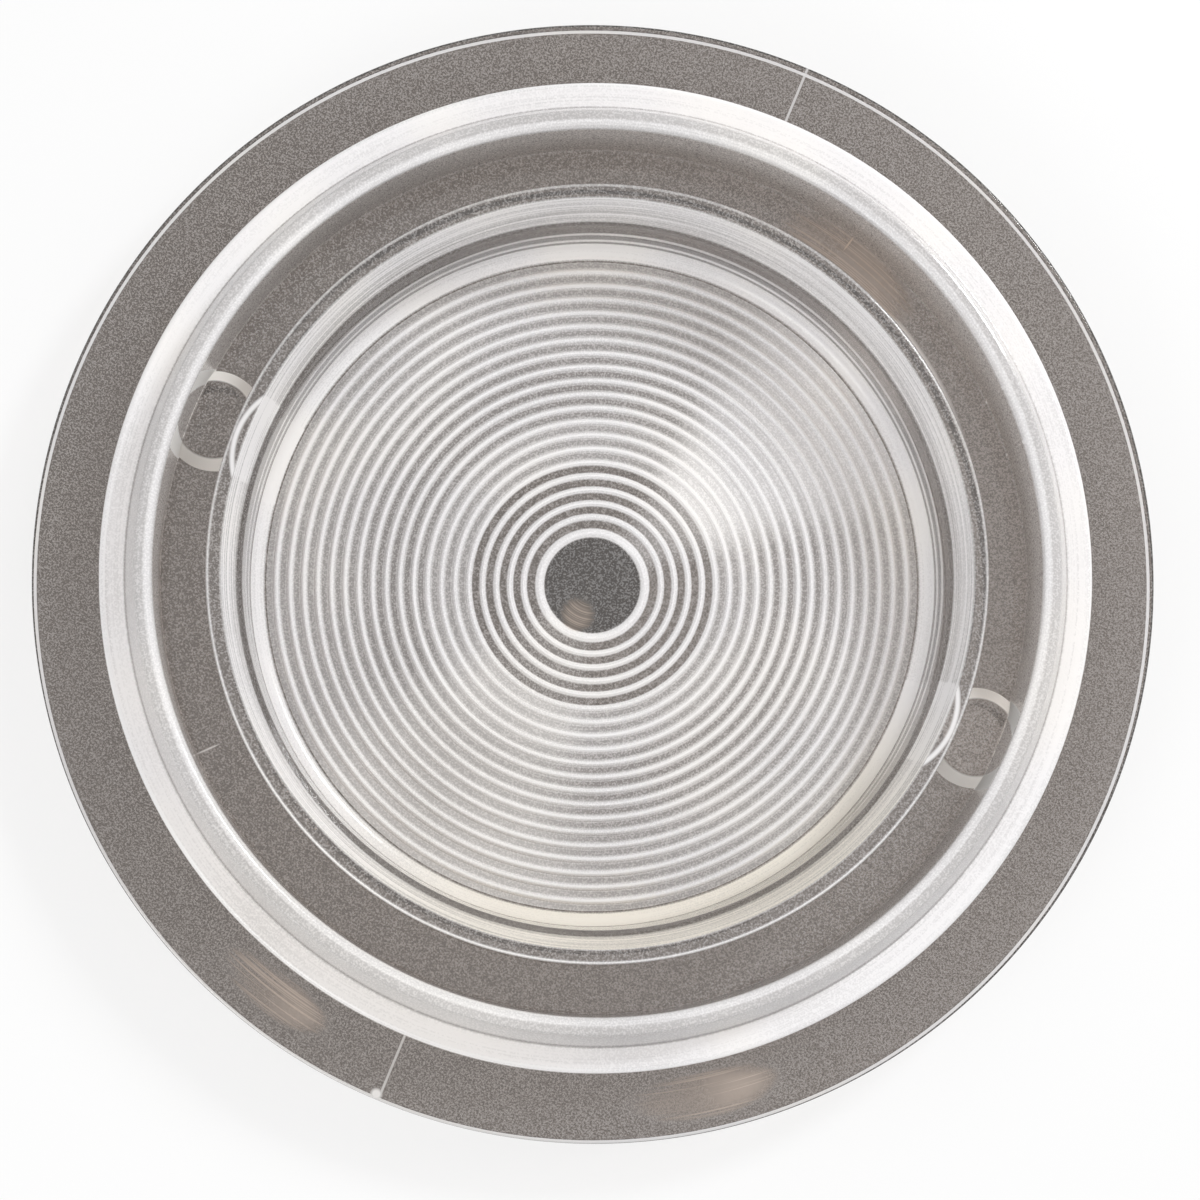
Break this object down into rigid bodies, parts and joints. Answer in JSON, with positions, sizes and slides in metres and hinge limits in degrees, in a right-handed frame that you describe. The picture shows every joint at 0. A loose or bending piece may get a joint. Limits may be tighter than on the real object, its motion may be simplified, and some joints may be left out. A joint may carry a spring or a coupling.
{
  "type": "pool light lens",
  "caption": "Round clear moulded lens for an underwater light: a ribbed cup inside a moat and a screw-in collar, on a flat sealing flange.",
  "frame": {"origin": "centre of the drum's flat front face, on which the lens rests", "axes": "+Z along the lens axis from the front face to the lamp side; +X through a spanner pocket; Y along the parting line of the mould"},
  "size_m": [0.127, 0.127, 0.0195],
  "materials": {
    "clear_plastic": "clear, polished; the screw collar is frosted"
  },
  "bodies": {
    "root": {"lens": "clear_plastic"}
  },
  "joints": []
}
